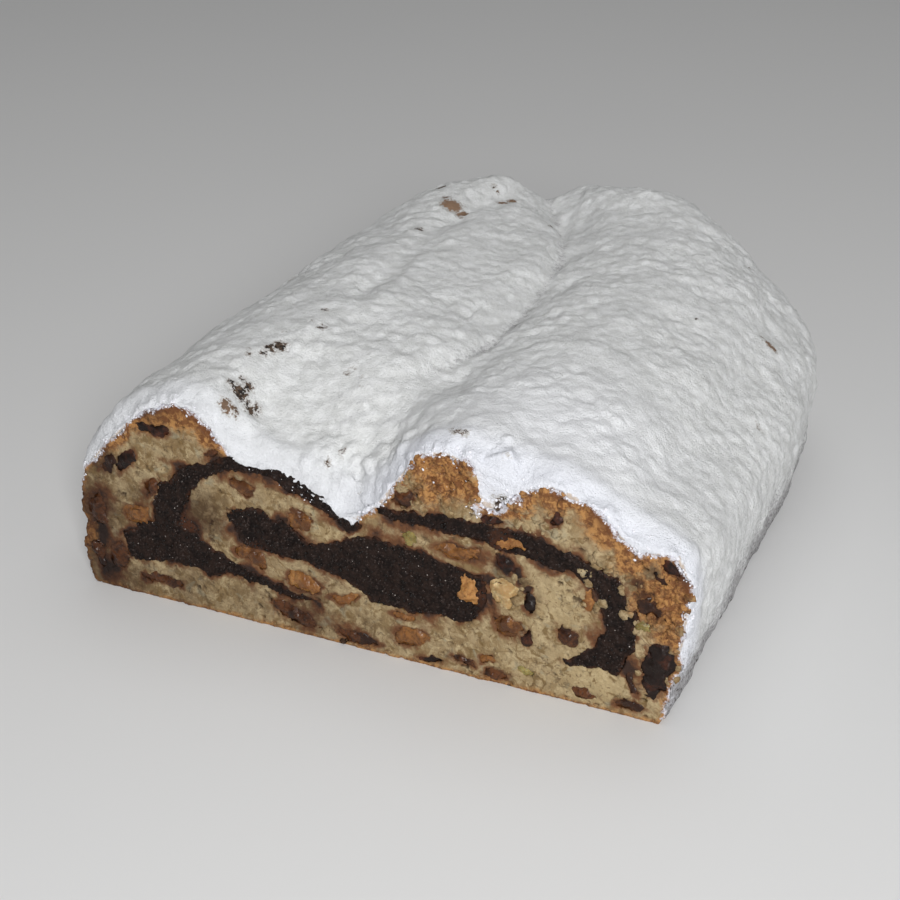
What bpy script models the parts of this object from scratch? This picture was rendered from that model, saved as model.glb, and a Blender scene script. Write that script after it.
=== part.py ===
"""Half of a poppy-seed stollen, cut across, under a coat of icing sugar.

The loaf lies along Y on its flat bottom, with the cut at the front (-Y) and its own round end at
the back. Each piece starts as a straight bar whose section is seen on the cut, in millimetres from
the cut's left foot (x right, y back, z up). settle() gives the bar the loaf's real form, and then
Booleans fit the pieces into each other.
"""

import math

import bmesh
import bpy
import numpy as np
from mathutils import Vector

MM = 0.001

# The loaf
LENGTH = 177.0
HEIGHT = 57.5
MIDDLE = 71.0
HALF_WIDTH = 73.5
LEFT_SQUARE = 4.3
RIGHT_SQUARE = 3.5
BELLY = 0.04
BELLY_RUN = 30.0
SHOULDERS = (10.0, 128.0)
SHOULDER_BLEND = 12.0
RIGHT_DROP = 0.5
FRAME_MIDDLE = (70.8, 88.8)

# The round end at the back
END_START = 96.0
END_STEPS = (0.0, 0.26, 0.49, 0.69, 0.84, 0.94, 0.99)
PLAN_POWER = 2.35
TOP_START = 0.66
TOP_POWER = 2.3
FOOT_START = 0.86
FOOT_TUCK = 0.85
TIP_HEIGHT = 20.0
FRONT_STEPS = (0.0, 9.0, 20.0, 34.0, 54.0)

# The top of the cut: how far across it reaches, and the least height that belongs to it
TOP_SPAN = (8.0, 140.5)
TOP_LEAST = 30.0

# The fold that runs down the top, as (y, x) along its bottom
CREASE = ((0, 68), (20, 71), (40, 77), (75, 79), (105, 77), (135, 69), (156, 55), (176, 30))
CREASE_SPACING = 10.0
CREASE_DEPTH = 6.0
CREASE_WIDTH = 8.0
VALLEY_DEPTH = 4.5
VALLEY_WIDTH = 20.0
VALLEY_RUN = 46.0
GROOVE_X = 102.0
GROOVE_DEPTH = 11.0
GROOVE_WIDTH = 3.0
GROOVE_RUN = 22.0

# Icing sugar and fits
GAP = 0.35
SUGAR_DEPTH = 2.8
SUGAR_FOOT = 1.0
PAST_CUT = 3.0
MITER_LIMIT = 1.6
SKIN_SPACING = 5.5
FILLING_SPACING = 7.5

# The filling runs from the cut to inside the closed end
FILLING_STEPS = (-PAST_CUT, 9.0, 20.0, 34.0, 54.0, 96.0, 134.0)

# The crust at the cut, from the left foot over the lobes to the right foot
CRUST = (
    (0, 0), (-2.2, 4), (-2.2, 18), (0, 30), (8, 40), (18, 48.4), (27, 52), (32, 50.4),
    (36.4, 45.6), (41, 40.8), (51, 40.4), (61, 36.2), (68.8, 32), (74, 35.8), (80, 44.4),
    (86, 52.4), (92, 53.8), (97.4, 51.6), (99.2, 45.4), (102, 42), (105.2, 44.4), (108.4, 48.6),
    (115, 51), (124, 47.6), (130, 42.8), (134, 39.6), (138, 41), (142, 40.8), (144.2, 36.4),
    (144.4, 28), (143, 14), (140.4, 0),
)

# The sugar over it, from its thin left edge to the right foot
SUGAR = (
    (-1.2, 28.4), (-0.8, 33), (4.6, 41.4), (14, 50.4), (27, 56), (35, 53.6), (42, 46.4),
    (52, 43.8), (61, 40.8), (67.4, 38.8), (73, 41.4), (79, 48.6), (86, 55.6), (95, 57.4), (104, 55.4),
    (115, 54.6), (125, 51), (132, 46.4), (139, 45), (145, 41), (146.6, 35), (146.4, 27),
    (144.8, 13), (142.2, SUGAR_FOOT),
)

# The poppy-seed filling as the roll's layers meet the cut
FILLINGS = {
    "poppy_fold_left": (
        (42, 43.6), (38.6, 41), (28, 37.6), (19.4, 31), (18.2, 21.6), (9.8, 15.4), (10.4, 9.6),
        (24, 11.4), (38, 8.4), (50, 7.9), (60.5, 8.9), (51, 11.2), (41, 13.6), (30.6, 18.4),
        (26.2, 26), (34, 35.8), (47, 39), (59, 34.4), (67.6, 29.8), (70.6, 31.8), (66, 36.4),
        (58, 40.6), (50, 43),
    ),
    "poppy_core": (
        (37.4, 26.6), (44, 30), (52, 28.6), (59, 24.4), (68, 27.4), (80, 29.6), (90, 27.4),
        (99, 26), (100.6, 21), (97.6, 14.4), (86, 13.8), (74, 13.4), (65, 18), (53, 19.4),
        (42, 20.4),
    ),
    "poppy_fold_right": (
        (74, 38), (84, 38.4), (95, 38.8), (105, 37.9), (115, 38), (122, 36.2), (130, 31.6),
        (134, 25), (133.4, 15), (131.4, 9), (117.6, 9.8), (124.6, 14), (127.4, 20.4), (126, 28.2),
        (120, 32), (110, 33), (98, 34.8), (86, 35.3), (76.6, 36),
    ),
}

# Fruit and nuts met by the cut: (x, z, width, height, tilt in degrees, depth)
FRUIT = {
    "raisin_dark": (
        (20.3, 45, 8.4, 3.8, 3, 4), (11.8, 35, 9.4, 3.6, 55, 5), (87.2, 2.1, 8, 2.2, 0, 5),
        (105.4, 30.7, 8, 3, -6, 4), (110.7, 13.6, 3, 4.6, 10, 4), (101.9, 40, 5, 2.4, 0, 3.5),
        (140.9, 38.7, 3.8, 3, -40, 4), (138.2, 34.9, 4.2, 2.8, -35, 4), (138.9, 13, 6.2, 14.4, 5, 7),
        (111.6, 22.6, 3.4, 4.6, 0, 4), (116, 44.1, 4.4, 3.2, 0, 4),
    ),
    "raisin_red": (
        (19.4, 5.2, 14.6, 3.8, -3, 6), (1.3, 9, 5.2, 8.8, 0, 6), (2.6, 21, 5.8, 10.6, 0, 6),
        (7.3, 9.2, 4.6, 9, -12, 5), (6.9, 33.8, 8.2, 3.2, 45, 5), (54, 4.2, 13, 5, -4, 6),
        (70, 2.9, 13, 3.8, -2, 6), (95.2, 3.9, 8, 3, -5, 5), (103, 2, 7, 2.1, 0, 4),
        (119.5, 16.7, 6.2, 5.6, 20, 5), (81, 41.2, 4.8, 3.8, 15, 4), (136.8, 28.2, 7.8, 3.4, -14, 5),
        (134, 2.4, 8.8, 2.2, 4, 5), (134.8, 8.4, 2.4, 6.4, 25, 4), (123.4, 3.4, 6.6, 2.4, -6, 4),
        (17, 29.8, 3.2, 5, -20, 4), (35.4, 42.2, 4.6, 1.9, 18, 3.5),
    ),
    "sultana": (
        (13.4, 21.6, 8.4, 6.8, -5, 6), (42.6, 35.2, 6.4, 3.8, -5, 5), (55.7, 30.2, 6, 5.2, 20, 5),
        (43.6, 17.6, 11, 3.8, -22, 5), (93.6, 31.2, 12.2, 4, -4, 6), (81.2, 11.3, 8.4, 2.5, -4, 5),
        (82.6, 6.3, 10, 4.4, 12, 5), (105.7, 15, 6.3, 6.4, 0, 6), (101.4, 5.7, 4.2, 2.7, 0, 4),
    ),
    "orange_peel": (
        (56.4, 13.9, 9.8, 6, 0, 5), (67, 12.3, 9.4, 2.6, 17, 5), (96.2, 22.2, 4.6, 7.6, 8, 5),
        (123.7, 26.5, 2.8, 6, 8, 4), (106.2, 35.5, 7, 2.5, 0, 4),
    ),
    "citron": ((83.4, 31.9, 4.2, 4, 0, 4), (110.2, 4.7, 5, 2.4, 0, 4), (136.2, 23, 4, 3.2, 25, 4)),
    "almond": ((105, 23.8, 8.2, 8.4, 15, 6),),
}
FRUIT_POINTS = 8
FRUIT_SWELL = (0.07, 0.05)
FRUIT_FACE = 0.3
FRUIT_TAPER = (0.62, 0.84)
FRUIT_PROUD = 0.9
FRUIT_FULL_SIZE = 6.0

# Finish of each material: colour, roughness
FINISHES = {
    "dough": ((0.62, 0.44, 0.22, 1), 0.85),
    "sugar": ((0.88, 0.88, 0.9, 1), 0.75),
    "poppy": ((0.035, 0.022, 0.018, 1), 0.6),
    "raisin_dark": ((0.05, 0.022, 0.014, 1), 0.35),
    "raisin_red": ((0.2, 0.055, 0.025, 1), 0.35),
    "sultana": ((0.4, 0.17, 0.05, 1), 0.35),
    "orange_peel": ((0.62, 0.27, 0.06, 1), 0.4),
    "citron": ((0.45, 0.4, 0.16, 1), 0.4),
    "almond": ((0.7, 0.58, 0.38, 1), 0.6),
}


# ---- lines and curves ----


def curve_through(points, spacing, closed):
    """Points about one spacing apart on a smooth (Catmull-Rom) curve through the given ones."""
    points = [Vector(p) for p in points]
    count = len(points)
    spans = count if closed else count - 1
    out = []
    for k in range(spans):
        if closed:
            a, b, c, d = (points[(k + j) % count] for j in (-1, 0, 1, 2))
        else:
            a, b, c, d = (points[min(max(k + j, 0), count - 1)] for j in (-1, 0, 1, 2))
        steps = max(1, round((c - b).length / spacing))
        for step in range(steps):
            t = step / steps
            bend = 2 * b + (c - a) * t + (2 * a - 5 * b + 4 * c - d) * t**2
            out.append((bend + (3 * b - a - 3 * c + d) * t**3) / 2)
    if not closed:
        out.append(points[-1])
    return [tuple(p) for p in out]


def offset_outline(points, distance):
    """A closed outline moved outwards along its corners' middle lines."""
    count = len(points)
    area = sum(
        points[k - 1][0] * points[k][1] - points[k][0] * points[k - 1][1] for k in range(count)
    )
    side = distance if area > 0 else -distance
    out = []
    for k in range(count):
        here = Vector(points[k])
        before = (here - Vector(points[k - 1])).normalized()
        after = (Vector(points[(k + 1) % count]) - here).normalized()
        along = (before + after).normalized()
        stretch = 1 / max(along.dot(after), 1 / MITER_LIMIT)
        out.append(tuple(here + Vector((along.y, -along.x)) * side * stretch))
    return out


def ramp(value):
    """0 below 0, 1 above 1, and a smooth rise between."""
    t = min(max(value, 0.0), 1.0)
    return t * t * (3 - 2 * t)


def bump(x, middle, width):
    return math.exp(-(((x - middle) / width) ** 2))


# ---- the loaf's real form ----


class Skin:
    """A surface that pieces of the loaf follow: its line at the cut, and how it lies behind."""

    def __init__(self, outline, cover, groove, reach):
        self.line = curve_through(outline, SKIN_SPACING, closed=False)
        top = [p for p in self.line if TOP_SPAN[0] <= p[0] <= TOP_SPAN[1] and p[1] > TOP_LEAST]
        self.top_x = [p[0] for p in top]
        self.top_z = [p[1] for p in top]
        self.cover = cover
        self.groove = groove
        self.reach = reach

    def stations(self):
        return list(FRONT_STEPS) + [END_START + (self.reach - END_START) * t for t in END_STEPS]

    def top_at(self, x, y):
        """Height above a point: the lobes of the cut, which give way to the arch and its fold."""
        groove = self.groove * bump(x, GROOVE_X, GROOVE_WIDTH)
        share = ramp(y / VALLEY_RUN)
        at_cut = float(np.interp(x, self.top_x, self.top_z)) + groove
        top = at_cut * (1 - share) + (top_behind(x, y) + self.cover) * share
        return top - groove * (1 - ramp(y / GROOVE_RUN))


def top_behind(x, y):
    """Height of the crust away from the cut: one broad arch with the fold pressed into it."""
    across = abs(x - MIDDLE) / HALF_WIDTH
    crease = float(np.interp(y, [p[0] for p in CREASE_LINE], [p[1] for p in CREASE_LINE]))
    arch = HEIGHT * math.sqrt(1 - across ** (LEFT_SQUARE if x < MIDDLE else RIGHT_SQUARE))
    fold = CREASE_DEPTH * bump(x, crease, CREASE_WIDTH) + VALLEY_DEPTH * bump(x, crease, VALLEY_WIDTH)
    return arch - fold


CREASE_LINE = curve_through(CREASE, CREASE_SPACING, closed=False)
CRUST_SKIN = Skin(CRUST, 0.0, GROOVE_DEPTH, LENGTH)
SUGAR_SKIN = Skin(SUGAR, SUGAR_DEPTH, 0.0, LENGTH + SUGAR_DEPTH)


def lift_at(skin, x, y):
    """How far the skin's top rises between the cut and y. Past the shoulders all skins do the same."""
    inner = min(max(x, SHOULDERS[0]), SHOULDERS[1])
    own = skin.top_at(inner, y) - skin.top_at(inner, 0.0)
    crust = CRUST_SKIN.top_at(inner, y) - CRUST_SKIN.top_at(inner, 0.0)
    inside = min(inner - SHOULDERS[0], SHOULDERS[1] - inner)
    share = ramp(inside / SHOULDER_BLEND)
    drop = RIGHT_DROP * max(x - SHOULDERS[1], 0.0) * ramp(y / VALLEY_RUN)
    return own * share + crust * (1 - share) - drop


def settle_point(point, skin):
    """Takes a point of the straight bar to its place in the loaf."""
    x, y, z = point
    top = skin.top_at(min(max(x, SHOULDERS[0]), SHOULDERS[1]), 0.0)
    z += lift_at(skin, x, y) * min(max(z / top, 0.0), 1.0)
    t = max((y - END_START) / (skin.reach - END_START), 0.0)
    if x < MIDDLE:
        x += (x - MIDDLE) * BELLY * ramp(y / BELLY_RUN)
    x = MIDDLE + (x - MIDDLE) * (1 - t**PLAN_POWER) ** (1 / PLAN_POWER)
    if z > TIP_HEIGHT:
        rise = max(t - TOP_START, 0.0) / (1 - TOP_START)
        z = TIP_HEIGHT + (z - TIP_HEIGHT) * (1 - rise**TOP_POWER) ** (1 / TOP_POWER)
    else:
        lift = FOOT_TUCK * max(t - FOOT_START, 0.0) / (1 - FOOT_START)
        z = TIP_HEIGHT + (z - TIP_HEIGHT) * math.sqrt(1 - lift**2)
    return Vector((x, y, z))


def settle(obj, skin=None):
    """Gives an object the loaf's form, as far as its own vertices follow it."""
    for vertex in obj.data.vertices:
        vertex.co = settle_point(vertex.co, skin or CRUST_SKIN)
    return obj


# ---- solids ----


def clear_scene():
    for obj in list(bpy.data.objects):
        bpy.data.objects.remove(obj, do_unlink=True)


def new_object(name, bm):
    bmesh.ops.recalc_face_normals(bm, faces=bm.faces)
    mesh = bpy.data.meshes.new(name)
    bm.to_mesh(mesh)
    bm.free()
    obj = bpy.data.objects.new(name, mesh)
    bpy.context.scene.collection.objects.link(obj)
    return obj


def skin_rings(name, rings):
    """A closed solid through rings of equal length; a ring of one point is a pole."""
    bm = bmesh.new()
    made = [[bm.verts.new(p) for p in ring] for ring in rings]
    count = max(len(ring) for ring in made)
    for near, far in zip(made, made[1:]):
        for k in range(count):
            m = (k + 1) % count
            a, b = near[k % len(near)], near[m % len(near)]
            c, d = far[m % len(far)], far[k % len(far)]
            for corners in ((a, b, d), (b, c, d)):
                if len(set(corners)) == 3:
                    bm.faces.new(corners)
    for ring in (made[0], made[-1]):
        if len(ring) > 1:
            bm.faces.new(ring)
    return new_object(name, bm)


def bar(name, outline, steps):
    """The outline, an (x, z) loop, as a straight solid through the given places along Y."""
    return skin_rings(name, [[(x, y, z) for x, z in outline] for y in steps])


def boolean(obj, others, operation):
    """Applies an exact Boolean with every one of the others, and removes them."""
    for other in others:
        modifier = obj.modifiers.new("shape", "BOOLEAN")
        modifier.operation = operation
        modifier.object = other
    graph = bpy.context.evaluated_depsgraph_get()
    mesh = bpy.data.meshes.new_from_object(obj.evaluated_get(graph))
    obj.modifiers.clear()
    old = obj.data
    obj.data = mesh
    bpy.data.meshes.remove(old)
    for other in others:
        bpy.data.objects.remove(other, do_unlink=True)


# ---- the pieces ----


def loaf_bar(name):
    return bar(name, CRUST_SKIN.line, CRUST_SKIN.stations())


def filling_bar(name, outline, growth):
    """The filling in the loaf's form, grown evenly all round its outline and at its inner end."""
    loop = curve_through(outline, FILLING_SPACING, closed=True)
    rings = []
    for y in (*FILLING_STEPS[:-1], FILLING_STEPS[-1] + growth):
        settled = [settle_point((x, y, z), CRUST_SKIN) for x, z in loop]
        grown = offset_outline([(p.x, p.z) for p in settled], growth)
        rings.append([(x, y, z) for x, z in grown])
    return skin_rings(name, rings)


def fruit_piece(name, place, growth):
    """One fruit: an uneven oval on the cut that rounds off to a blunt point inside the loaf."""
    x, z, width, height, tilt, depth = place
    turn = math.radians(tilt)
    start = x + z
    wide, narrow = FRUIT_SWELL
    oval = []
    for k in range(FRUIT_POINTS):
        angle = 2 * math.pi * k / FRUIT_POINTS
        swell = 1 + wide * math.sin(2 * angle + start) + narrow * math.sin(3 * angle + 2 * start)
        across = (width / 2 * swell + growth) * math.cos(angle)
        up = (height / 2 * swell + growth) * math.sin(angle)
        oval.append(
            (across * math.cos(turn) - up * math.sin(turn), across * math.sin(turn) + up * math.cos(turn))
        )
    proud = -FRUIT_PROUD * min(1.0, min(width, height) / FRUIT_FULL_SIZE) - growth
    taper_depth, taper = FRUIT_TAPER

    def ring(scale, y):
        return [(x + u * scale, y, z + v * scale) for u, v in oval]

    tip = [(x, depth + growth, z)]
    return skin_rings(
        name, [[(x, proud, z)], ring(1.0, FRUIT_FACE), ring(taper, taper_depth * depth), tip]
    )


def fruit_list():
    return [
        (f"{kind}_{number:02d}", kind, place)
        for kind, places in FRUIT.items()
        for number, place in enumerate(places, 1)
    ]


def fruit_cutters(near=None):
    """Every fruit grown by the gap, or only those whose boxes meet the named outline's box."""
    cutters = []
    for name, _, place in fruit_list():
        x, z, size = place[0], place[1], max(place[2:4]) / 2
        if near:
            low = [min(p[k] for p in near) - size for k in (0, 1)]
            high = [max(p[k] for p in near) + size for k in (0, 1)]
            if not (low[0] < x < high[0] and low[1] < z < high[1]):
                continue
        cutters.append(settle(fruit_piece("cut_" + name, place, GAP)))
    return cutters


def make_filling(name, outline):
    filling = filling_bar(name, outline, 0.0)
    boolean(filling, [settle(loaf_bar("loaf"))], "INTERSECT")
    boolean(filling, fruit_cutters(outline), "DIFFERENCE")
    return filling


def make_dough():
    dough = settle(loaf_bar("dough"))
    channels = [filling_bar("cut_" + name, outline, GAP) for name, outline in FILLINGS.items()]
    boolean(dough, channels, "DIFFERENCE")
    boolean(dough, fruit_cutters(), "DIFFERENCE")
    return dough


def make_fruit(name, place):
    return settle(fruit_piece(name, place, 0.0))


def make_sugar():
    """The coat: its outer form less the loaf, whose own form is carried on below and in front."""
    outer = settle(bar("sugar_coat", SUGAR_SKIN.line, SUGAR_SKIN.stations()), SUGAR_SKIN)
    bare = Skin(CRUST, 0.0, GROOVE_DEPTH, LENGTH + GAP)
    under = offset_outline(bare.line, GAP)
    under[0] = (under[0][0], -PAST_CUT)
    under[-1] = (under[-1][0], -PAST_CUT)
    inner = settle(bar("loaf", under, [-PAST_CUT] + bare.stations()), bare)
    boolean(outer, [inner], "DIFFERENCE")
    return outer


# ---- finishes ----


def material(name):
    colour, roughness = FINISHES[name]
    made = bpy.data.materials.new(name)
    made.use_nodes = True
    shader = made.node_tree.nodes["Principled BSDF"]
    shader.inputs["Base Color"].default_value = colour
    shader.inputs["Roughness"].default_value = roughness
    shader.inputs["Metallic"].default_value = 0.0
    made.diffuse_color = colour
    return made


def finish(obj, made):
    """Gives the material, then metres and the loaf's own frame, with the origin under its middle."""
    obj.data.materials.clear()
    obj.data.materials.append(made)
    shift = Vector((*FRAME_MIDDLE, 0))
    for vertex in obj.data.vertices:
        vertex.co = (vertex.co - shift) * MM


def main():
    clear_scene()
    materials = {name: material(name) for name in FINISHES}
    finish(make_dough(), materials["dough"])
    finish(make_sugar(), materials["sugar"])
    for name, outline in FILLINGS.items():
        finish(make_filling(name, outline), materials["poppy"])
    for name, kind, place in fruit_list():
        finish(make_fruit(name, place), materials[kind])


main()
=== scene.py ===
"""The looks of half a poppy-seed stollen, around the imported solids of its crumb, filling, fruit and
icing sugar.

Each solid is copied, closed up into a fine skin, and given the relief of the real thing. Places on
the loaf are in millimetres from the left foot of the cut: x to the right, y to the back, z up.
"""

import math
import random

import bpy
import numpy as np
from mathutils import Matrix, Vector, noise
from mathutils.bvhtree import BVHTree


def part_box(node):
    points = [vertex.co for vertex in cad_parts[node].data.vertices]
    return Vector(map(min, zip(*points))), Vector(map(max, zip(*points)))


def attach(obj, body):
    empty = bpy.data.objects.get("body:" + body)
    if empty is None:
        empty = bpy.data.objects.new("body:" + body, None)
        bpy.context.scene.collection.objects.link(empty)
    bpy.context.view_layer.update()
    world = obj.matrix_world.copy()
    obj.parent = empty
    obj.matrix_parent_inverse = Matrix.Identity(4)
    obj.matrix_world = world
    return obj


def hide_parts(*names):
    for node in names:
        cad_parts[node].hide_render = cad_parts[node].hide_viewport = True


MM = 0.001

# The camera: where it looks on the ground, how far off it stands, and its lens
LOOK_AT = (50.4, 96.4, 0.0)
CAMERA_DISTANCE = 454.3
CAMERA_TURN = 23.6
CAMERA_HEIGHT = 27.6
CAMERA_LENS = 65.4

# How fine each skin is
CRUMB_GRAIN = 0.34
FILLING_GRAIN = 0.34
FRUIT_GRAIN = 0.34
SUGAR_GRAIN = 0.62
LOAF_GRAIN = 1.6
SLAB = 4.2
MOST_FACES = 195000

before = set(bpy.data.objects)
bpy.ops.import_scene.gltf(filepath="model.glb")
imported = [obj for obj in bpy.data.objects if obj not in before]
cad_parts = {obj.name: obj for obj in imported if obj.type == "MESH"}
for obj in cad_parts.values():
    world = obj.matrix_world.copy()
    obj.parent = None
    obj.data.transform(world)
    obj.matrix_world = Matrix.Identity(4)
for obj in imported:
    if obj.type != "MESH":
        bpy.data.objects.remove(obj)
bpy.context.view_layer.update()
cut_low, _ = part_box("dough")
FOOT = Vector((-0.0708, cut_low.y, 0.0))


# ---- places and selection ----


def place(x, y, z):
    """A point of the loaf in the frame's metres."""
    return FOOT + Vector((x, y, z)) * MM


def loaf_points(obj):
    """Every vertex in the loaf's millimetres, as an array."""
    found = np.empty(len(obj.data.vertices) * 3, np.float32)
    obj.data.vertices.foreach_get("co", found)
    return (found.reshape(-1, 3) - np.array(FOOT)) / MM


def move_points(obj, points):
    """Gives every vertex its place from an array in the loaf's millimetres."""
    found = (points * MM + np.array(FOOT)).astype(np.float32)
    obj.data.vertices.foreach_set("co", found.ravel())
    obj.data.update()


def only(obj):
    bpy.ops.object.select_all(action="DESELECT")
    obj.select_set(True)
    bpy.context.view_layer.objects.active = obj


def ramp(value):
    """0 below 0, 1 above 1, and a smooth rise between."""
    t = np.clip(value, 0.0, 1.0)
    return t * t * (3 - 2 * t)


def nodes_named(*starts):
    return sorted(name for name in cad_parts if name.startswith(starts))


# ---- making skins ----


def copy_of(name, nodes):
    """One object with the merged meshes of these solids, which are left as they are."""
    bpy.ops.object.select_all(action="DESELECT")
    copies = []
    for node in nodes:
        copies.append(bpy.data.objects.new(name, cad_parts[node].data.copy()))
        bpy.context.scene.collection.objects.link(copies[-1])
        copies[-1].select_set(True)
    bpy.context.view_layer.objects.active = copies[0]
    if len(copies) > 1:
        bpy.ops.object.join()
    made = bpy.context.view_layer.objects.active
    made.name = name
    made.data.materials.clear()
    bpy.ops.object.mode_set(mode="EDIT")
    bpy.ops.mesh.select_all(action="SELECT")
    bpy.ops.mesh.remove_doubles(threshold=0.001 * MM)
    bpy.ops.object.mode_set(mode="OBJECT")
    return made


def apply_modifier(obj, modifier):
    only(obj)
    bpy.ops.object.modifier_apply(modifier=modifier.name)


def keep_between(obj, near, far):
    """Cuts the object to what lies between two places along the loaf, and closes it."""
    width, height = 400.0, 200.0
    middle = place(70.0, (near + far) / 2, 0.0)
    bpy.ops.mesh.primitive_cube_add(size=1.0, location=middle)
    block = bpy.context.object
    block.scale = (width * MM, (far - near) * MM, height * MM)
    bpy.ops.object.transform_apply(location=True, scale=True)
    modifier = obj.modifiers.new("slab", "BOOLEAN")
    modifier.operation = "INTERSECT"
    modifier.object = block
    apply_modifier(obj, modifier)
    bpy.data.objects.remove(block, do_unlink=True)
    obj.data.materials.clear()
    return obj


def reskin(obj, grain):
    """An even skin of small faces over the object."""
    modifier = obj.modifiers.new("skin", "REMESH")
    modifier.mode = "VOXEL"
    modifier.voxel_size = grain * MM
    modifier.adaptivity = 0.0
    apply_modifier(obj, modifier)
    return obj


def drop_behind(obj, depth):
    """Takes off what lies further back than depth, and closes the back with one flat face."""
    only(obj)
    bpy.ops.object.mode_set(mode="EDIT")
    bpy.ops.mesh.select_all(action="SELECT")
    bpy.ops.mesh.bisect(
        plane_co=place(0.0, depth, 0.0), plane_no=(0.0, 1.0, 0.0), clear_outer=True, threshold=1e-7
    )
    bpy.ops.mesh.select_all(action="DESELECT")
    bpy.ops.mesh.select_mode(type="EDGE")
    bpy.ops.mesh.select_non_manifold(use_wire=False, use_multi_face=False, use_verts=False)
    bpy.ops.mesh.fill(use_beauty=False)
    bpy.ops.mesh.select_mode(type="VERT")
    bpy.ops.object.mode_set(mode="OBJECT")
    return obj


def join(objects):
    bpy.ops.object.select_all(action="DESELECT")
    for obj in objects:
        obj.select_set(True)
    bpy.context.view_layer.objects.active = objects[0]
    bpy.ops.object.join()
    return objects[0]


def weigh(obj, name, weights):
    """A vertex group that holds one weight from an array for each vertex."""
    group = obj.vertex_groups.new(name=name)
    steps = np.round(np.clip(weights, 0, 1) * 50).astype(int)
    for step in np.unique(steps):
        if step:
            group.add(np.nonzero(steps == step)[0].tolist(), float(step) / 50, "REPLACE")
    return group.name


def soften(obj, factor, repeat, group=""):
    modifier = obj.modifiers.new("soften", "SMOOTH")
    modifier.factor = factor
    modifier.iterations = repeat
    modifier.vertex_group = group
    apply_modifier(obj, modifier)


def thin_out(obj, hidden, kept, most):
    """Leaves a share of the hidden faces, and then thins all of them out evenly to the most that may be."""
    modifier = obj.modifiers.new("thin_out", "DECIMATE")
    modifier.vertex_group = weigh(obj, "hidden", hidden)
    modifier.vertex_group_factor = 10.0
    modifier.ratio = 1 - (1 - kept) * float(np.mean(hidden > 0.9))
    apply_modifier(obj, modifier)
    faces = len(obj.data.loops) - 2 * len(obj.data.polygons)
    if faces > most:
        modifier = obj.modifiers.new("thin_out", "DECIMATE")
        modifier.ratio = most / faces
        apply_modifier(obj, modifier)


def clouds(size, depth=2, basis="ORIGINAL_PERLIN"):
    texture = bpy.data.textures.new("clouds", "CLOUDS")
    texture.noise_scale = size * MM
    texture.noise_depth = depth
    texture.noise_basis = basis
    return texture


def cells(size, low, high):
    """Round pits: black in the middle of each cell up to low, and white beyond high."""
    texture = bpy.data.textures.new("cells", "VORONOI")
    texture.noise_scale = size * MM
    texture.use_color_ramp = True
    first, last = texture.color_ramp.elements[0], texture.color_ramp.elements[1]
    first.position, first.color = low, (0, 0, 0, 1)
    last.position, last.color = high, (1, 1, 1, 1)
    return texture


def relief(obj, texture, height, middle=0.5, group="", stretch=(1.0, 1.0, 1.0)):
    """Raises the skin along its normals by a texture, whose pattern may be stretched."""
    modifier = obj.modifiers.new("relief", "DISPLACE")
    modifier.texture = texture
    modifier.strength = height * MM
    modifier.mid_level = middle
    modifier.vertex_group = group
    helper = None
    if stretch != (1.0, 1.0, 1.0):
        helper = bpy.data.objects.new("stretch", None)
        bpy.context.scene.collection.objects.link(helper)
        helper.scale = stretch
        bpy.context.view_layer.update()
        modifier.texture_coords = "OBJECT"
        modifier.texture_coords_object = helper
    apply_modifier(obj, modifier)
    if helper:
        bpy.data.objects.remove(helper, do_unlink=True)


# Shapes at the cut that are pushed aside, as (x, z, half width, half height, to the right, upwards)
PUSHED = (
    (46, 43.0, 5, 2.4, 0.0, -1.2), (54, 42.2, 5, 2.6, 0.0, -2.0), (61, 39.6, 4.5, 2.6, 0.0, -1.6),
    (53, 43.8, 6, 3.6, 0.0, -0.9), (61, 41.5, 5, 3.6, 0.0, -1.1), (67, 37.5, 4, 3.2, 0.0, -1.2),
    (124, 47.5, 6, 3.0, 0.0, 1.1), (24, 50.5, 7, 3.0, 0.0, 0.8),
    (49, 38.0, 5.5, 1.8, 0.0, 0.8), (58, 36.0, 4.5, 1.8, 0.0, 0.7), (66, 35.0, 3.5, 2.2, 0.0, -0.8), (-2, 13, 4, 7, 1.2, 0.0), (38, 8, 6, 4.0, 0.0, 2.8), (47, 7, 5, 4.0, 0.0, 2.2), (141, 17, 5, 4.0, 0.8, 1.8),
    (125, 8.5, 8, 2.5, 0.0, 1.4),
    (24, 34, 2.5, 2.5, 1.2, -0.6), (19, 30, 2.0, 3.0, 1.0, 0.0), (27, 23, 3.0, 3.0, -0.9, 0.0),
)


def pull_out_of_shape(obj):
    """Draws the outlines near the cut out of their smooth shapes, all by one pattern in space."""
    points = loaf_points(obj)
    x, y, z = points.T
    share = (1 - ramp((y - 1.2) / 2.4)) * ramp((z - 0.3) / 2.5)
    for at_x, at_z, wide, high, right, up in PUSHED:
        weights = share * np.exp(-(((x - at_x) / wide) ** 2 + ((z - at_z) / high) ** 2))
        for direction, height in (("X", right), ("Z", up)):
            if height:
                shift(obj, direction, height, weights)
    group = weigh(obj, "near_cut", share)
    for direction, size, strength in (
        ("X", 6.5, 2.6), ("Z", 5.9, 2.6), ("X", 2.5, 1.5), ("Z", 2.2, 1.5), ("X", 1.0, 0.9), ("Z", 0.9, 0.9)
    ):
        modifier = obj.modifiers.new("pull", "DISPLACE")
        modifier.direction = direction
        modifier.texture = clouds(size, 0)
        modifier.strength = strength * MM
        modifier.vertex_group = group
        apply_modifier(obj, modifier)


def shift(obj, direction, height, weights):
    """Moves the skin along one axis, by a height times the weights."""
    modifier = obj.modifiers.new("shift", "DISPLACE")
    modifier.direction = direction
    modifier.strength = height * MM
    modifier.mid_level = 0.0
    modifier.vertex_group = weigh(obj, "shift", weights)
    apply_modifier(obj, modifier)


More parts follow.
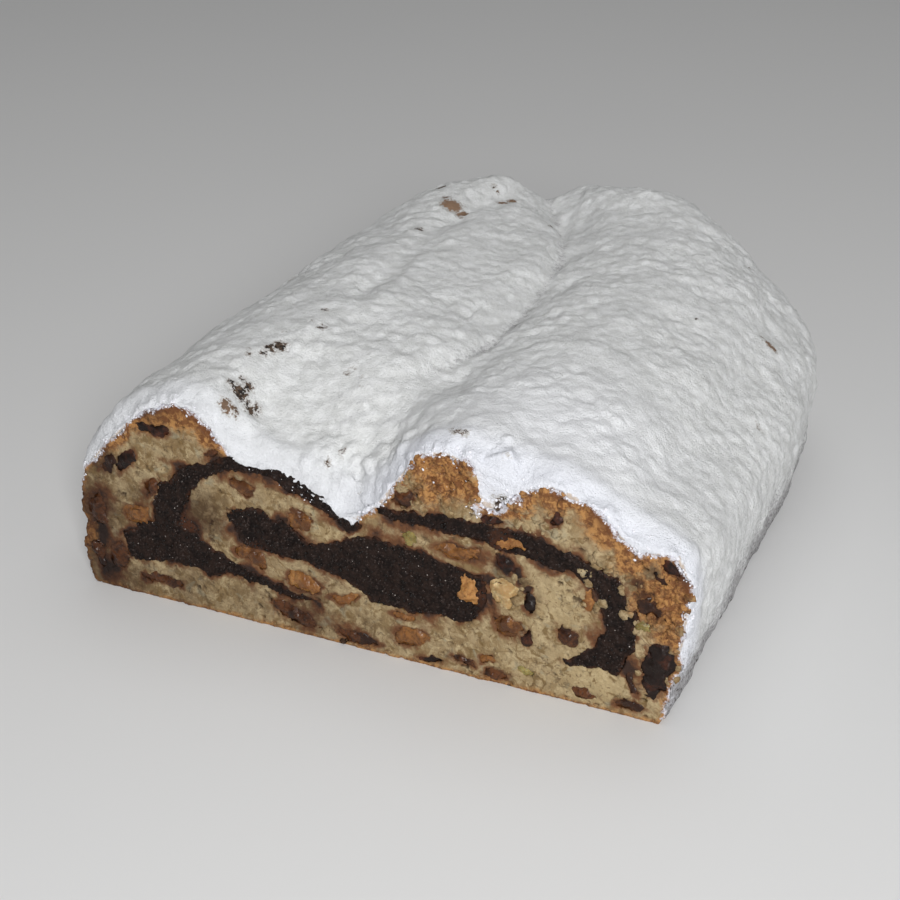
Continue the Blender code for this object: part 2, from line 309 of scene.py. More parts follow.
def lift(obj, height, weights):
    shift(obj, "Z", height, weights)


def press_back(obj, height):
    """Moves the faces that look out of the cut back into it."""
    normals = np.empty(len(obj.data.vertices) * 3, np.float32)
    obj.data.vertex_normals.foreach_get("vector", normals)
    front = np.clip(-normals.reshape(-1, 3)[:, 1], 0, 1) * face_share(loaf_points(obj))
    shift(obj, "Y", height, front)


def swell(obj, height, group=""):
    modifier = obj.modifiers.new("swell", "DISPLACE")
    modifier.strength = height * MM
    modifier.mid_level = 0.0
    modifier.vertex_group = group
    apply_modifier(obj, modifier)


def attribute(obj, name, values):
    made = obj.data.attributes.new(name, "FLOAT", "POINT")
    made.data.foreach_set("value", np.asarray(values, np.float32))


def polish(obj, body="root"):
    """A flat foot, smooth shading, and the ride on the loaf's one body."""
    points = loaf_points(obj)
    points[:, 2] = np.maximum(points[:, 2], 0.02)
    move_points(obj, points)
    only(obj)
    bpy.ops.object.shade_smooth()
    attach(obj, body)
    return obj


# ---- distances to the solids ----


def tree_of(nodes, keep=None):
    """A search tree over the faces of these solids, or those of them that keep() accepts."""
    vertices, faces = [], []
    for node in nodes:
        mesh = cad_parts[node].data
        start = len(vertices)
        vertices += [v.co.copy() for v in mesh.vertices]
        for polygon in mesh.polygons:
            if keep is None or keep(polygon):
                faces.append([start + k for k in polygon.vertices])
    return BVHTree.FromPolygons(vertices, faces)


def distances(obj, tree, most):
    """How far every vertex lies from the nearest face of a tree, in millimetres, up to most."""
    found = np.full(len(obj.data.vertices), float(most))
    for vertex in obj.data.vertices:
        near = tree.find_nearest(vertex.co, most * MM)
        if near[0] is not None:
            found[vertex.index] = near[3] / MM
    return found


def looks_at(obj, tree):
    """1 where the skin faces the solids of a tree, and 0 where it faces away from them."""
    found = np.zeros(len(obj.data.vertices))
    for vertex in obj.data.vertices:
        near = tree.find_nearest(vertex.co)
        found[vertex.index] = -vertex.normal.dot(near[1])
    return ramp((found - 0.1) / 0.4)


def outer_crust():
    """The faces of the dough that nothing lies close in front of: its own outside."""
    inside = tree_of(nodes_named("poppy", "raisin", "sultana", "orange", "citron", "almond"))
    near_face = 1.2 * MM

    def looks_out(polygon):
        if abs(polygon.normal.y) > 0.8 and polygon.center.y < FOOT.y + MM:
            return False
        start = polygon.center + polygon.normal * 0.01 * MM
        return inside.ray_cast(start, polygon.normal, near_face)[0] is None

    return tree_of(["dough"], looks_out)


def speckle(points, size, seed=0.0):
    """Smooth noise from 0 to 1 at every point."""
    values = [
        noise.noise(Vector((p[0] / size + seed, p[1] / size, p[2] / size - seed))) for p in points
    ]
    return 0.5 + 0.5 * np.array(values)


# ---- materials ----


class Paint:
    """A material being mixed: its nodes, its shader and the piece's own coordinates."""

    def __init__(self, name, roughness, **sockets):
        self.made = bpy.data.materials.new(name)
        self.made.use_nodes = True
        self.tree = self.made.node_tree
        self.shader = self.tree.nodes["Principled BSDF"]
        self.shader.inputs["Roughness"].default_value = roughness
        for socket, value in sockets.items():
            self.shader.inputs[socket.replace("_", " ")].default_value = value
        self.where = self.tree.nodes.new("ShaderNodeTexCoord").outputs["Object"]

    def link(self, value, socket):
        if isinstance(value, bpy.types.NodeSocket):
            self.tree.links.new(value, socket)
        else:
            socket.default_value = value

    def noise(self, size, detail=3.0, roughness=0.55, distortion=0.0, stretch=None):
        node = self.tree.nodes.new("ShaderNodeTexNoise")
        node.inputs["Scale"].default_value = 1 / (size * MM)
        node.inputs["Detail"].default_value = detail
        node.inputs["Roughness"].default_value = roughness
        node.inputs["Distortion"].default_value = distortion
        self.tree.links.new(self.stretched(stretch), node.inputs["Vector"])
        return node.outputs["Fac"]

    def cells(self, size, feature="F1", output="Distance", wander=0.0):
        """A pattern of cells, whose places wander by some millimetres so that they look torn."""
        node = self.tree.nodes.new("ShaderNodeTexVoronoi")
        node.feature = feature
        node.inputs["Scale"].default_value = 1 / (size * MM)
        self.tree.links.new(self.wandering(size * 0.6, wander) if wander else self.where, node.inputs["Vector"])
        return node.outputs[output]

    def wandering(self, size, amount):
        blur = self.tree.nodes.new("ShaderNodeTexNoise")
        blur.inputs["Scale"].default_value = 1 / (size * MM)
        self.tree.links.new(self.where, blur.inputs["Vector"])
        node = self.tree.nodes.new("ShaderNodeVectorMath")
        node.operation = "MULTIPLY_ADD"
        self.tree.links.new(blur.outputs["Color"], node.inputs[0])
        node.inputs[1].default_value = (amount * MM,) * 3
        self.tree.links.new(self.where, node.inputs[2])
        return node.outputs["Vector"]

    def stretched(self, stretch):
        if stretch is None:
            return self.where
        node = self.tree.nodes.new("ShaderNodeMapping")
        node.inputs["Scale"].default_value = stretch
        self.tree.links.new(self.where, node.inputs["Vector"])
        return node.outputs["Vector"]

    def attribute(self, name):
        node = self.tree.nodes.new("ShaderNodeAttribute")
        node.attribute_name = name
        return node.outputs["Fac"]

    def math(self, operation, first, second=0.5, third=0.0):
        node = self.tree.nodes.new("ShaderNodeMath")
        node.operation = operation
        for value, socket in zip((first, second, third), node.inputs):
            self.link(value, socket)
        return node.outputs[0]

    def span(self, value, low, high, start=0.0, end=1.0, smooth=True):
        node = self.tree.nodes.new("ShaderNodeMapRange")
        node.interpolation_type = "SMOOTHSTEP" if smooth else "LINEAR"
        for name, number in (
            ("Value", value), ("From Min", low), ("From Max", high), ("To Min", start), ("To Max", end)
        ):
            self.link(number, node.inputs[name])
        return node.outputs["Result"]

    def mix(self, share, first, second, blend="MIX"):
        node = self.tree.nodes.new("ShaderNodeMix")
        node.data_type = "RGBA"
        node.blend_type = blend
        self.link(share, node.inputs[0])
        for value, socket in ((first, node.inputs[6]), (second, node.inputs[7])):
            self.link(value if isinstance(value, bpy.types.NodeSocket) else (*value, 1.0), socket)
        return node.outputs[2]

    def colour(self, value):
        self.link(value, self.shader.inputs["Base Color"])

    def bump(self, *layers):
        """Bumps on bumps: (height, distance in millimetres, strength) from the coarse to the fine."""
        last = None
        for height, distance, strength in layers:
            node = self.tree.nodes.new("ShaderNodeBump")
            node.inputs["Strength"].default_value = strength
            node.inputs["Distance"].default_value = distance * MM
            self.tree.links.new(height, node.inputs["Height"])
            if last:
                self.tree.links.new(last, node.inputs["Normal"])
            last = node.outputs["Normal"]
        self.tree.links.new(last, self.shader.inputs["Normal"])


def wear(obj, paint):
    obj.data.materials.clear()
    obj.data.materials.append(paint.made)
    return obj


def tone(red, green, blue):
    """A colour from its everyday 0 to 255 numbers, as the shaders take it."""
    parts = [channel / 255 for channel in (red, green, blue)]
    return tuple(p / 12.92 if p <= 0.04045 else ((p + 0.055) / 1.055) ** 2.4 for p in parts)


def crumb_paint():
    """Pale torn crumb, soaked brown beside filling and fruit, and baked brown towards the crust."""
    p = Paint("crumb", 0.72)
    p.shader.inputs["Specular IOR Level"].default_value = 0.35
    broad = p.span(p.noise(6.0, 4.0, 0.6, 0.6), 0.4, 0.62)
    pale = p.mix(broad, tone(128, 105, 71), tone(156, 136, 103))
    clumps = p.span(p.noise(2.0, 5.0, 0.68, 0.6), 0.48, 0.64)
    pale = p.mix(p.math("MULTIPLY", p.attribute("pale"), 0.7), pale, tone(172, 152, 114))
    pale = p.mix(p.math("MULTIPLY", clumps, 0.65), pale, tone(186, 167, 130))
    # Darker specks: painted shade in the small pores
    small_pores = p.span(p.noise(0.85, 3.0, 0.6, 0.3), 0.6, 0.68)
    pale = p.mix(p.math("MULTIPLY", small_pores, 0.6), pale, tone(98, 74, 46))
    moist = p.span(p.noise(3.4, 3.0, 0.6, 1.2), 0.54, 0.64)
    pale = p.mix(p.math("MULTIPLY", moist, 0.8), pale, tone(112, 88, 50))
    ash = p.span(p.noise(4.4, 2.0, 0.5, 0.8), 0.6, 0.7, 0.0, 0.6)
    pale = p.mix(ash, pale, tone(150, 142, 118))
    wet = p.math("MULTIPLY_ADD", p.noise(5.0, 3.0, 0.6), 1.3, p.attribute("soak"))
    soak = p.math("MULTIPLY_ADD", p.noise(1.3, 4.0, 0.6), 0.5, wet)
    soaked = p.mix(p.span(soak, 1.12, 1.6), pale, tone(104, 66, 38))
    soaked = p.mix(p.span(soak, 1.5, 1.95), soaked, tone(50, 32, 24))
    # The darkest step falls mostly on the almond's hollow and the left edge: painted shade there, with the deepest
    # soak
    soaked = p.mix(p.span(soak, 2.2, 2.6), soaked, tone(22, 16, 14))
    brown = p.math("MULTIPLY_ADD", p.noise(2.2, 5.0, 0.65), 0.7, p.attribute("brown"))
    gold = p.mix(p.span(p.noise(1.5, 5.0, 0.7, 0.5), 0.42, 0.58), tone(114, 72, 38), tone(172, 125, 73))
    baked = p.mix(p.span(brown, 0.6, 1.05), soaked, gold)
    baked = p.mix(p.span(brown, 1.25, 1.75, 0.0, 0.85), baked, tone(102, 60, 32))
    # Dark lines along the cell edges where the crumb is torn: painted shade in the cracks between clumps
    gaps = p.span(p.cells(2.8, "DISTANCE_TO_EDGE", wander=2.6), 0.01, 0.09, 1.0, 0.0)
    some = p.span(p.noise(2.2, 2.0), 0.54, 0.64)
    torn = p.math("MULTIPLY", gaps, p.math("MULTIPLY_ADD", p.attribute("torn"), 1.0, some))
    baked = p.mix(p.math("MULTIPLY", torn, 0.42), baked, tone(52, 34, 24))
    pit = p.span(p.attribute("pit"), 0.1, 0.9)
    shade = p.mix(p.math("MULTIPLY", pit, 0.75), baked, tone(64, 46, 30))
    # Darker where the crumb is compact and moist, and painted shade along the left edge, the bottom and in the
    # almond's hollow
    dense_and_shade = p.math("MULTIPLY_ADD", p.noise(1.6, 4.0, 0.65), 0.8, p.attribute("dense_and_shade"))
    shade = p.mix(p.span(dense_and_shade, 0.4, 1.35), shade, (0.36, 0.31, 0.28), "MULTIPLY")
    dust = p.math("MULTIPLY_ADD", p.noise(0.9, 5.0, 0.75), 1.2, p.attribute("dust"))
    p.colour(p.mix(p.span(dust, 1.0, 1.25), shade, tone(206, 206, 214)))
    p.link(p.span(moist, 0.0, 1.0, 0.78, 0.42), p.shader.inputs["Roughness"])
    p.bump((p.noise(1.1, 5.0, 0.65), 0.6, 0.6), (p.noise(0.45, 3.0, 0.6), 0.25, 0.6))
    return p


def sugar_paint():
    """Icing sugar: white powder that thins out to grey and brown specks where the crust comes through, with painted
    light along the front and painted shade along the fold.
    """
    p = Paint("icing_sugar", 0.85)
    p.shader.inputs["Specular IOR Level"].default_value = 0.2
    mottled = p.span(p.noise(3.0, 4.0, 0.6), 0.38, 0.62)
    white = p.mix(mottled, tone(223, 224, 223), tone(238, 239, 239))
    # Whiter on the front of the right dome: thicker sugar there, and painted light
    white = p.mix(p.attribute("thick_and_lit"), white, tone(248, 249, 252))
    # Bluish white along the front edge, most on the right: painted light
    white = p.mix(p.attribute("rim"), white, tone(234, 236, 243))
    hem = p.math("MULTIPLY_ADD", p.noise(0.7, 4.0, 0.7), 1.0, p.attribute("hem"))
    white = p.mix(p.span(hem, 0.9, 1.4, 0.0, 0.75), white, tone(196, 172, 146))
    # Grey where the sugar is thin on the right side and low down, and painted shade along the fold
    thin = p.math("MULTIPLY_ADD", p.noise(0.9, 4.0, 0.7), 1.0, p.attribute("thin"))
    grey = p.mix(p.span(thin, 0.75, 1.15), white, tone(164, 162, 164))
    bare = p.math("MULTIPLY_ADD", p.noise(0.9, 3.0, 0.65, 0.6), 1.5, p.attribute("bare"))
    dark = p.mix(p.span(p.noise(1.2, 3.0), 0.4, 0.6), tone(44, 40, 38), tone(98, 80, 66))
    crust = p.mix(p.attribute("tan"), dark, tone(150, 122, 100))
    speck = p.mix(p.span(thin, 1.14, 1.24), grey, tone(84, 78, 76))
    near_bare = p.mix(p.span(bare, 1.2, 1.5), speck, tone(200, 197, 194))
    p.colour(p.mix(p.span(bare, 1.5, 1.6), near_bare, crust))
    p.bump((p.noise(1.3, 5.0, 0.75), 0.7, 0.8), (p.noise(0.45, 3.0, 0.7), 0.4, 0.9))
    return p


def poppy_paint():
    """Ground poppy seed: nearly black, grainy, moist, with bright specks painted in as glints."""
    p = Paint("poppy_paste", 0.5)
    p.shader.inputs["Specular IOR Level"].default_value = 0.14
    ground = p.mix(p.span(p.noise(2.6, 4.0), 0.35, 0.7), tone(19, 12, 10), tone(38, 26, 21))
    grain = p.mix(p.span(p.cells(0.7, wander=0.3), 0.2, 0.5, 0.4, 0.0), ground, tone(54, 41, 36))
    stain = p.math("MULTIPLY_ADD", p.noise(1.6, 4.0, 0.6), 0.8, p.attribute("stained"))
    grain = p.mix(p.span(stain, 0.75, 1.3, 0.0, 0.8), grain, tone(74, 44, 29))
    # Bright specks: painted glints on the moist paste
    painted_glints = p.span(p.cells(0.9), 0.08, 0.16, 1.0, 0.0)
    few = p.span(p.noise(1.0, 0.0), 0.6, 0.62)
    p.colour(p.mix(p.math("MULTIPLY", painted_glints, few), grain, tone(200, 190, 184)))
    p.link(p.span(p.noise(0.8, 2.0), 0.35, 0.65, 0.35, 0.75), p.shader.inputs["Roughness"])
    p.bump((p.noise(1.6, 3.0), 0.5, 0.5), (p.cells(0.8), 0.3, 0.7))
    return p


def sugar_grain_paint():
    p = Paint("sugar_grain", 0.9)
    p.shader.inputs["Specular IOR Level"].default_value = 0.15
    p.colour(p.mix(p.noise(0.8), tone(216, 216, 222), tone(236, 236, 242)))
    return p


def grain_paint():
    """Single poppy seeds: round, dark and bright where they catch the light."""
    p = Paint("poppy_seed", 0.35)
    p.shader.inputs["Specular IOR Level"].default_value = 0.2
    p.colour(p.mix(p.span(p.noise(2.0, 1.0), 0.4, 0.6), tone(18, 12, 10), tone(46, 35, 31)))
    return p


def fruit_paint(name, flesh, deep, skin, gloss, glow):
    """Moist fruit: flesh that shows on the cut, darker folds, and a skin where it turns away."""
    p = Paint(name, gloss)
    p.shader.inputs["Specular IOR Level"].default_value = 0.2
    p.shader.inputs["Subsurface Weight"].default_value = glow
    p.shader.inputs["Subsurface Radius"].default_value = (1.0, 0.35, 0.12)
    p.shader.inputs["Subsurface Scale"].default_value = 1.2 * MM
    p.shader.inputs["Coat Weight"].default_value = 0.8 * (0.5 - gloss)
    p.shader.inputs["Coat Roughness"].default_value = 0.18
    ripe = p.math("MULTIPLY_ADD", p.noise(15.0, 0.0), 0.7, p.noise(2.6, 4.0, 0.6, 0.5))
    body = p.mix(p.span(ripe, 0.7, 1.0), tone(*deep), tone(*flesh))
    fine = p.mix(p.span(p.noise(0.8, 4.0, 0.6), 0.45, 0.66, 0.0, 0.7), body, tone(*deep))
    fine = p.mix(p.span(p.attribute("rim"), 0.3, 0.9), fine, tone(*skin))
    # Darker in the crumb's darkened spots: painted shade along the left edge, the bottom and in the almond's hollow,
    # and dark, moist places
    p.colour(p.mix(p.attribute("dense_and_shade"), fine, (0.5, 0.46, 0.44), "MULTIPLY"))
    p.bump((p.noise(1.4, 4.0, 0.6, 0.8), 0.5, 0.6), (p.noise(0.5, 2.0), 0.15, 0.4))
    return p


# ---- the pieces ----


def face_share(points, full=0.9, none=2.2):
    """1 on the cut face and 0 further back."""
    return 1 - ramp((points[:, 1] - full) / (none - full))


def spots(points, table, axes=(0, 2)):
    """The strongest of some round spots at every point, each (first, second, radius, strength)."""
    found = np.zeros(len(points))
    for first, second, radius, strength in table:
        away = (points[:, axes[0]] - first) ** 2 + (points[:, axes[1]] - second) ** 2
        found = np.maximum(found, strength * np.exp(-away / radius**2))
    return found


# Where the bake has browned the crumb, as (x, z, radius, strength)
BROWNED = (
    (27, 52, 7, 1.1), (34, 48, 4.5, 1.0), (18, 49, 6, 0.8), (9, 42, 5, 0.65), (92, 49, 8, 0.9),
    (86, 50, 5, 0.75), (98, 47, 4, 0.8), (108, 47, 5, 0.8), (116, 50, 6, 0.9), (126, 45, 6, 0.95),
    (132, 38, 5, 0.75), (140, 30, 7, 1.0), (143, 36, 5, 1.0), (141, 22, 5, 0.7), (-1, 14, 3, 0.5),
    (88, 44, 5, 0.7), (134, 28, 4, 0.6), (31, 51.5, 3, 1.6), (36, 47, 2.5, 1.5), (23, 51.5, 3, 1.4),
)

# Where the crumb has torn into loose clumps, as (x, z, radius, strength)
TORN = (
    (92, 49, 9, 1.0), (112, 46, 7, 0.5), (138, 29, 8, 1.0), (126, 36.8, 2.6, 1.6), (123.5, 32.3, 1.5, 1.4), (125.5, 26.5, 1.5, 0.8), (108, 24, 6, 0.3),
    (86, 44, 6, 0.7), (140, 14, 6, 0.5),
)

# Where the crumb is soaked brown beside the filling, as (x, z, radius, strength); along the left edge this is partly
# painted shade, and in the almond's hollow it is painted shade
SOAKED_AND_SHADED = (
    (28, 22, 3, 0.9), (33, 38, 6, 0.4), (44, 12, 5, 0.5), (70, 17, 8, 0.25), (60, 8, 7, 0.3),
    (101, 30, 5, 0.5), (14, 24, 4, 0.5), (8, 12, 6, 0.5), (102, 19, 4, 0.4), (6, 33, 4, 0.5), (2, 22, 5, 0.5),
    (101.5, 26, 2.0, 1.2), (101.5, 21.5, 2.0, 1.0), (104.5, 30.5, 2.2, 1.7), (108.5, 28.8, 1.8, 1.6),
    (110.5, 25.5, 1.3, 1.3), (135, 31.5, 3.5, 1.0), (140, 30, 2.5, 0.9), (144, 39, 3.0, 1.1), (142, 20, 3.0, 1.0),
    (134, 12, 2.5, 0.9), (1, 14, 5, 1.2), (4, 25, 4, 0.8), (5, 5, 5, 0.9), (58, 4, 5, 0.5), (66, 5, 4, 0.5), (86, 14, 9, 0.35),
)

# Brown fruit pulp that colours the filling, as (x, z, radius, strength)
STAINED = ((27, 22.5, 2.6, 1.2), (45, 19, 4, 0.8), (99, 22, 3, 0.9), (36, 41, 3, 0.7), (104, 36, 4, 0.8), (62, 10, 5, 0.7))

# Where the crumb is darkened, as (x, z, radius, strength): compact, moist crumb and dark fruit in places, and painted
# shade along the left edge, the bottom and in the almond's hollow
DENSE_AND_SHADE = (
    (0, 20, 11, 1.0), (0, 5, 12, 1.0), (10, 3, 9, 0.7), (5, 34, 6, 0.8), (26, 4, 12, 0.5), (42, 5, 9, 0.4),
    (58, 6, 9, 0.6), (14, 27, 6, 0.5), (31, 26, 7, 1.0), (62, 16, 10, 0.3), (46, 33, 5, 0.3), (142, 24, 5, 0.3), (20, 50, 5, 0.6),
    (73, 6, 7, 0.4), (137, 37, 2.2, 0.9), (142.5, 38.5, 2.4, 1.1), (136, 30, 2.6, 0.8),
    (133, 33.5, 1.8, 0.7), (144, 33, 1.6, 0.7), (139, 26.5, 1.8, 0.8), (104, 30, 2.6, 1.0), (109.5, 27.5, 1.4, 0.9),
)

# Where the crumb is airy and pale, as (x, z, radius, strength)
PALE = (
    (118, 25, 8, 1.0), (112, 17, 6, 0.6), (126, 8, 10, 1.3), (62, 31, 8, 0.7), (108, 8, 8, 0.5), (78, 34, 7, 0.6),
    (36, 8.5, 5, 0.5), (115, 40, 7, 0.4), (75, 9, 5, 0.3), (48, 36, 5, 0.4), (133, 25, 3, 0.5),
)

# Where sugar has fallen on the cut, as (x, z, radius, strength)
DUSTED = ((91, 52, 3.5, 0.6), (99, 43, 3.0, 0.6), (108, 47, 3.0, 0.5), (135, 43, 4.0, 0.5), (70, 36, 3.0, 0.4))


def browning(points, depth):
    """How brown the crumb is: a band under the crust, and the lobes that stood up in the oven."""
    band = np.exp(-depth / 1.6) * 0.75
    return np.clip(band + spots(points, BROWNED), 0, 1.4)


# The fold down the top, as (y, x) along its bottom, and the dip in the left hump
FOLD = ((4, 50), (16, 58), (29, 67), (40, 74), (50, 77), (60, 79), (80, 79), (111, 76), (130, 70), (150, 60), (165, 51), (176, 46))
HUMP_DIP = ((50, 46), (62, 41), (82, 42), (110, 40), (133, 44), (150, 48), (164, 52))


def along(line, points, width):
    """1 on a line drawn on the top as (y, x) places, falling off to its sides over the width."""
    marks = np.array(line, float)
    x = np.interp(points[:, 1], marks[:, 0], marks[:, 1])
    slope = np.interp(points[:, 1], marks[:, 0], np.gradient(marks[:, 1], marks[:, 0]))
    across = (points[:, 0] - x) / np.sqrt(1 + slope**2)
    ends = ramp((points[:, 1] - marks[0, 0]) / 12) * ramp((marks[-1, 0] - points[:, 1]) / 12)
    return np.exp(-((across / width) ** 2)) * ends


def press_fold(obj):
    """Presses the fold into the top, and raises the far end of the left hump."""
    points = loaf_points(obj)
    x, y, z = points.T
    top = ramp((z - 20) / 12)
    lift(obj, 4.0, along(FOLD, points, 9.0) * ramp((y - 28) / 20) * ramp((148 - y) / 25) * top)
    lift(obj, 4.6, np.exp(-(((x - 67) / 10) ** 2 + ((y - 24) / 18) ** 2)) * ramp((y - 2) / 9) * top)
    lift(obj, 2.4, np.exp(-(((x - 76) / 6) ** 2 + ((y - 22) / 12) ** 2)) * ramp((y - 4) / 10) * top)
    lift(obj, -1.1, along(FOLD, points, 1.9) * ramp((y - 18) / 30) * top)
    lift(obj, 1.8, np.exp(-(((x - 70) / 5) ** 2 + ((y - 110) / 14) ** 2)) * top)
    lift(obj, -1.6, along(HUMP_DIP, points, 4.0) * top)
    lift(obj, 4.6, np.exp(-(((x - 27) / 13) ** 2 + ((y - 142) / 16) ** 2)) * top)
    lift(obj, 2.6, np.exp(-(((x - 44) / 8) ** 2 + ((y - 152) / 12) ** 2)) * top)
    lift(obj, 2.6, np.exp(-(((x - 88) / 18) ** 2 + ((y - 163) / 14) ** 2)) * top)
    lift(obj, 2.6, np.exp(-(((x - 52) / 9) ** 2 + ((y - 164) / 12) ** 2)) * top)
    lift(obj, 3.3, np.exp(-(((x - 64) / 9) ** 2 + ((y - 163) / 15) ** 2)) * top)


def make_crumb(crust):
    """The cut face of the crumb: a thin slab with pores and torn relief, in front of the loaf."""
    crumb = keep_between(copy_of("crumb_cut", ["dough"]), -1.0, SLAB + 2.0)
    drop_behind(reskin(crumb, CRUMB_GRAIN), SLAB)
    points = loaf_points(crumb)
    brown = browning(points, distances(crumb, crust, 8.0))
    filling = distances(crumb, tree_of(nodes_named("poppy")), 5.0)
    fruit = distances(crumb, tree_of(nodes_named("raisin", "sultana", "orange")), 3.0)
    reach = 0.5 + 2.6 * ramp((speckle(points, 9.0, 3.0) - 0.3) / 0.4)
    patchy = 0.45 + 0.6 * ramp((speckle(points, 5.0, 9.0) - 0.3) / 0.35)
    soak = np.maximum(1.15 * patchy * np.exp(-filling / reach), 0.8 * np.exp(-fruit / 0.8))
    soak *= 1 - spots(points, ((122, 8, 10, 0.7), (118, 24, 7, 0.4)))
    sugar = distances(crumb, tree_of(["sugar_coat"]), 4.0)
    face = face_share(points)
    torn = spots(points, TORN) * face
    swell(crumb, 0.22)
    pull_out_of_shape(crumb)
    face_group = weigh(crumb, "face", face)
    relief(crumb, clouds(4.5), 0.9, 0.5, face_group)
    relief(crumb, clouds(1.5, 3), 0.6, 0.5, face_group)
    torn_group = weigh(crumb, "torn_parts", torn)
    relief(crumb, cells(3.4, 0.0, 0.75), 1.2, 0.75, torn_group)
    relief(crumb, clouds(1.7, 2), 1.8, 0.5, torn_group)
    before = loaf_points(crumb)
    many = ramp((speckle(points, 4.0) - 0.42) / 0.25) * face
    pores = weigh(crumb, "pores", many)
    relief(crumb, cells(1.7, 0.1, 0.3), 1.0, 1.0, pores, (1.5, 1.0, 0.9))
    relief(crumb, cells(3.6, 0.08, 0.2), 1.6, 1.0, pores, (1.3, 1.0, 0.8))
    attribute(crumb, "pit", np.linalg.norm(loaf_points(crumb) - before, axis=1))
    relief(crumb, clouds(0.7, 1), 0.4, 0.5, face_group)
    attribute(crumb, "brown", brown)
    attribute(crumb, "torn", torn)
    attribute(crumb, "soak", np.clip(np.maximum(soak, 0.4 * soak + spots(points, SOAKED_AND_SHADED)), 0, 1.7))
    attribute(crumb, "dense_and_shade", spots(points, DENSE_AND_SHADE))
    attribute(crumb, "pale", spots(points, PALE))
    attribute(crumb, "dust", np.maximum(0.85 * np.exp(-sugar / 1.1), spots(points, DUSTED)))
    thin_out(crumb, (points[:, 1] > 2.2).astype(float), 0.2, MOST_FACES)
    return polish(crumb)


def make_loaf(crust):
    """The rest of the crumb, behind the cut face. Its crust shows at the sides and below."""
    loaf = keep_between(copy_of("crumb_loaf", ["dough"]), SLAB - 0.6, 300.0)
    reskin(loaf, LOAF_GRAIN)
    soften(loaf, 0.5, 4)
    relief(loaf, clouds(5.0), 1.5)
    press_fold(loaf)
    points = loaf_points(loaf)
    lift(loaf, -1.6, ramp((points[:, 2] - 28) / 10))
    depth = distances(loaf, crust, 8.0)
    attribute(loaf, "brown", np.clip(1.25 * np.exp(-((depth / 2.5) ** 2)), 0, 1.3))
    attribute(loaf, "soak", np.zeros(len(points)))
    attribute(loaf, "pit", np.zeros(len(points)))
    attribute(loaf, "torn", np.zeros(len(points)))
    coat = distances(loaf, tree_of(["sugar_coat"]), 12.0)
    attribute(loaf, "dust", np.maximum(0.35 * ramp((points[:, 2] - 6) / 25), 0.8 * np.exp(-coat / 3.0)))
    return polish(loaf)


def make_filling(name, node):
    """A layer of filling: a grainy face at the cut, and its plain run through the loaf behind."""
    face = keep_between(copy_of(name, [node]), -1.0, SLAB + 2.0)
    drop_behind(reskin(face, FILLING_GRAIN), SLAB)
    points = loaf_points(face)
    group = weigh(face, "face", face_share(points) * (0.2 + 0.8 * ramp((0.9 - points[:, 1]) / 0.7)))
    stained = np.exp(-distances(face, tree_of(["dough"]), 4.0) / 0.9)
    stained = np.maximum(stained, spots(points, STAINED) * face_share(points))
    pull_out_of_shape(face)
    swell(face, 0.14)
    press_back(face, 0.14)
    relief(face, clouds(3.4), 0.8, 0.5, group)
    relief(face, clouds(1.1, 2), 0.7, 0.5, group)
    relief(face, cells(0.95, 0.05, 0.7), 0.35, 0.3, group)
    attribute(face, "stained", stained)
    run = keep_between(copy_of("run", [node]), SLAB - 0.5, 300.0)
    return polish(join([face, run]))


# Bare and thin places in the sugar, as (x, y, radius, strength)
BARE = (
    (34, 11.5, 1.8, 1.0), (36.5, 11, 2.6, 1.1), (37, 14, 1.8, 1.0), (35, 15, 1.5, 0.9), (36.3, 5, 2.2, 1.0),
    (38, 5.5, 1.9, 0.9), (39.5, 9.5, 2.4, 1.0), (40.5, 11.5, 1.7, 0.9), (36.8, 29.3, 2.5, 1.1),
    (35.5, 27, 2.2, 1.0), (35, 24.5, 1.7, 0.9), (32.5, 22, 1.4, 0.9), (31.5, 24, 1.2, 0.8),
    (34.5, 35, 1.0, 0.8), (42.5, 39.8, 2.2, 0.9), (39, 47.8, 1.5, 1.0), (39, 41, 1.0, 0.8),
    (55, 27.3, 1.6, 0.9), (56, 29, 1.0, 0.8), (59, 27, 1.0, 0.8), (60, 24, 0.9, 0.8), (61, 5.5, 1.2, 0.9),
    (62.8, 9, 1.4, 0.9), (67.5, 3, 1.2, 0.9), (69, 3.4, 1.0, 0.9), (74, 12, 1.0, 0.8), (92, 4.7, 1.6, 1.0),
    (94, 4.5, 1.4, 0.9), (90, 5.8, 1.2, 0.8), (103.4, 0.5, 2.2, 1.0), (37.5, 127, 4.4, 1.15), (34, 131, 2.4, 0.9), (41, 124.5, 2.4, 1.0),
    (28.5, 140, 2.2, 1.0), (42, 126, 1.8, 1.1), (43, 145, 1.4, 0.9), (44.7, 144, 1.2, 0.9),
    (48, 139.5, 2.4, 1.1), (49.3, 143, 2.0, 1.1), (36, 108.5, 2.0, 1.0), (133.9, 105.4, 1.7, 1.0),
    (135.3, 105.1, 1.6, 1.0), (132, 106.6, 1.4, 0.9), (118.8, 90.5, 1.1, 0.8), (64, 135, 1.4, 0.9),
    (120, 140, 1.4, 0.8), (141, 70, 1.6, 0.8), (12, 80, 1.6, 0.8), (8, 60, 1.4, 0.8), (90, 172, 2.0, 0.8),
)

# Bare places where the crust is only lightly browned
LIGHT_CRUST = ((37.5, 127, 7.0, 1.2), (48.5, 141, 5.0, 1.0), (134, 105, 3.0, 0.8), (36.5, 5, 3.0, 0.6))


